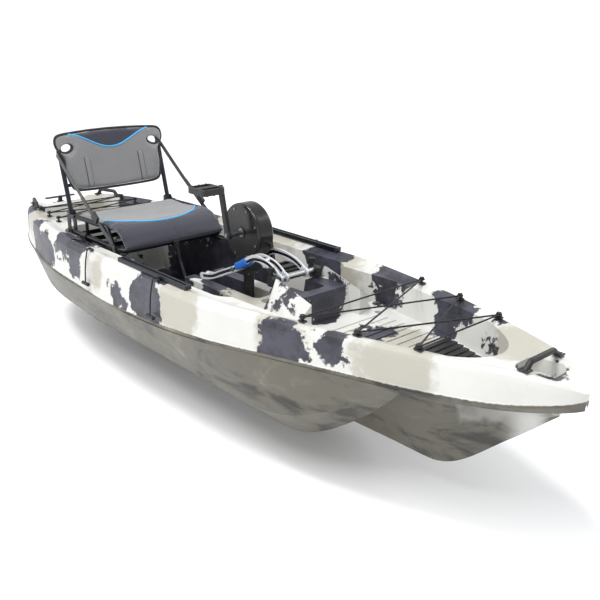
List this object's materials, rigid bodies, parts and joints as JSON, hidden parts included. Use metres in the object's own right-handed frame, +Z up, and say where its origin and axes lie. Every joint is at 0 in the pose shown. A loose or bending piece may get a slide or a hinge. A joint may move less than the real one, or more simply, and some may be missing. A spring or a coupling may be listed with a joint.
{
  "type": "pedal drive fishing kayak",
  "caption": "Sit-on-top kayak with a framed seat, a lift-up pedal drive that turns a propeller through the hull, and a stern rudder.",
  "frame": {"origin": "on the keel's flat bottom, on the centreline, 400 mm aft of midship just behind the drive slot", "axes": "+X towards the bow, +Y to port, +Z up"},
  "size_m": [3.39, 0.9238, 1.0427],
  "materials": {
    "hull_shell": "rotomoulded shell in blotched white, grey and slate, olive-grey underside",
    "black_plastic": "moulded black plastic",
    "cord": "braided shock cord",
    "webbing": "woven strap",
    "seat_fabric": "padded mesh and coated cloth, grey with dark edges and light blue piping",
    "anodised_black": "black anodised aluminium",
    "satin_aluminium": "satin aluminium",
    "crank_black": "black painted alloy",
    "steel": "stainless steel",
    "foam": "closed-cell deck foam",
    "rubber_black": "rubber",
    "grip_blue": "blue rubber grip"
  },
  "bodies": {
    "hull": {"hull": "hull_shell", "bow_handle": "black_plastic", "stern_handles": "black_plastic", "gear_rails": "anodised_black", "end_caps": "black_plastic", "deck_screws": "steel", "cord_hooks": "black_plastic", "deck_bungees": "cord", "paddle_cords": "cord", "cord_toggles": "black_plastic", "rod_holders": "black_plastic", "floor_pads": "foam", "slatted_mat": "black_plastic", "seat_tracks": "anodised_black", "drive_saddles": "black_plastic", "cross_tube": "satin_aluminium", "rudder_bracket": "black_plastic", "lever_base": "black_plastic"},
    "drain_plug": {"drain_plug": "black_plastic"},
    "seat": {"seat_base_frame": "anodised_black", "seat_feet": "black_plastic", "seat_brackets": "black_plastic", "seat_prop_leg": "anodised_black", "seat_leg_foot": "rubber_black", "hinge_pins": "steel", "seat_cushion": "seat_fabric", "seat_straps": "webbing", "strap_buckles": "black_plastic"},
    "backrest": {"back_frame": "anodised_black", "back_cushion": "seat_fabric", "strap_clasps": "black_plastic"},
    "clamp_knob_starboard": {"clamp_knob_starboard": "black_plastic"},
    "clamp_knob_port": {"clamp_knob_port": "black_plastic"},
    "drive": {"drive_arms": "satin_aluminium", "lift_grip": "grip_blue", "frame_bolt": "steel", "housing_starboard": "black_plastic", "housing_port": "black_plastic", "drive_bearings": "steel", "drive_bolts": "steel", "drive_leg": "black_plastic", "gearcase": "black_plastic"},
    "cranks": {"crank_axle": "steel", "crank_gear": "steel", "crank_arm_starboard": "crank_black", "crank_arm_port": "crank_black", "crank_bolts": "steel", "pedal_spindles": "steel"},
    "pedal_starboard": {"pedal_starboard": "black_plastic"},
    "pedal_port": {"pedal_port": "black_plastic"},
    "upright_shaft": {"upright_shaft": "steel"},
    "propeller": {"propeller_shaft": "steel", "propeller": "black_plastic", "propeller_nut": "black_plastic"},
    "rudder_head": {"rudder_pins": "steel", "rudder_head": "black_plastic", "rudder_tiller": "black_plastic"},
    "rudder_blade": {"rudder_blade": "black_plastic"},
    "steering_lever": {"steering_lever": "black_plastic"}
  },
  "joints": [
    {"name": "seat_slide", "type": "slide", "parent": "hull", "child": "seat", "axis": [1, 0, 0], "range_m": [-0.01, 0.05]},
    {"name": "backrest_fold", "type": "hinge", "parent": "seat", "child": "backrest", "pos_m": [-0.55, 0, 0.53], "axis": [0, 1, 0], "range_deg": [-8, 62]},
    {"name": "drive_tilt", "type": "hinge", "parent": "hull", "child": "drive", "pos_m": [0.765, 0, 0.484], "axis": [0, 1, 0], "range_deg": [0, 90]},
    {"name": "crank_spin", "type": "hinge", "parent": "drive", "child": "cranks", "pos_m": [0.475, 0, 0.6], "axis": [0, 1, 0], "continuous": true},
    {"name": "pedal_starboard_spin", "type": "hinge", "parent": "cranks", "child": "pedal_starboard", "pos_m": [0.4355, -0.173, 0.78585], "axis": [0, 1, 0], "continuous": true},
    {"name": "pedal_port_spin", "type": "hinge", "parent": "cranks", "child": "pedal_port", "pos_m": [0.5145, 0.173, 0.41415], "axis": [0, 1, 0], "continuous": true},
    {"name": "upright_shaft_spin", "type": "hinge", "parent": "drive", "child": "upright_shaft", "pos_m": [0.475, 0, 0.3], "axis": [0, 0, 1], "continuous": true},
    {"name": "propeller_spin", "type": "hinge", "parent": "drive", "child": "propeller", "pos_m": [0.41, 0, -0.038], "axis": [1, 0, 0], "continuous": true},
    {"name": "clamp_knob_starboard_turn", "type": "hinge", "parent": "hull", "child": "clamp_knob_starboard", "pos_m": [0.744, -0.105, 0.51], "axis": [0, 0, 1], "continuous": true},
    {"name": "clamp_knob_port_turn", "type": "hinge", "parent": "hull", "child": "clamp_knob_port", "pos_m": [0.744, 0.105, 0.51], "axis": [0, 0, 1], "continuous": true},
    {"name": "rudder_steer", "type": "hinge", "parent": "hull", "child": "rudder_head", "pos_m": [-1.248, 0, 0.391], "axis": [0, 0, 1], "range_deg": [-38, 38]},
    {"name": "rudder_lift", "type": "hinge", "parent": "rudder_head", "child": "rudder_blade", "pos_m": [-1.3, 0, 0.391], "axis": [0, 1, 0], "range_deg": [0, 100]},
    {"name": "steering_lever_turn", "type": "hinge", "parent": "hull", "child": "steering_lever", "pos_m": [0.005, 0.366, 0.48], "axis": [0, 0, 1], "range_deg": [-38, 38]},
    {"name": "drain_plug_turn", "type": "hinge", "parent": "hull", "child": "drain_plug", "pos_m": [-1.2, -0.105, 0.268], "axis": [1, 0, 0], "continuous": true}
  ],
  "couplings": [
    {"joint": "upright_shaft_spin", "follows": "crank_spin", "ratio": 8.5},
    {"joint": "propeller_spin", "follows": "crank_spin", "ratio": 8.5},
    {"joint": "steering_lever_turn", "follows": "rudder_steer", "ratio": 1}
  ]
}
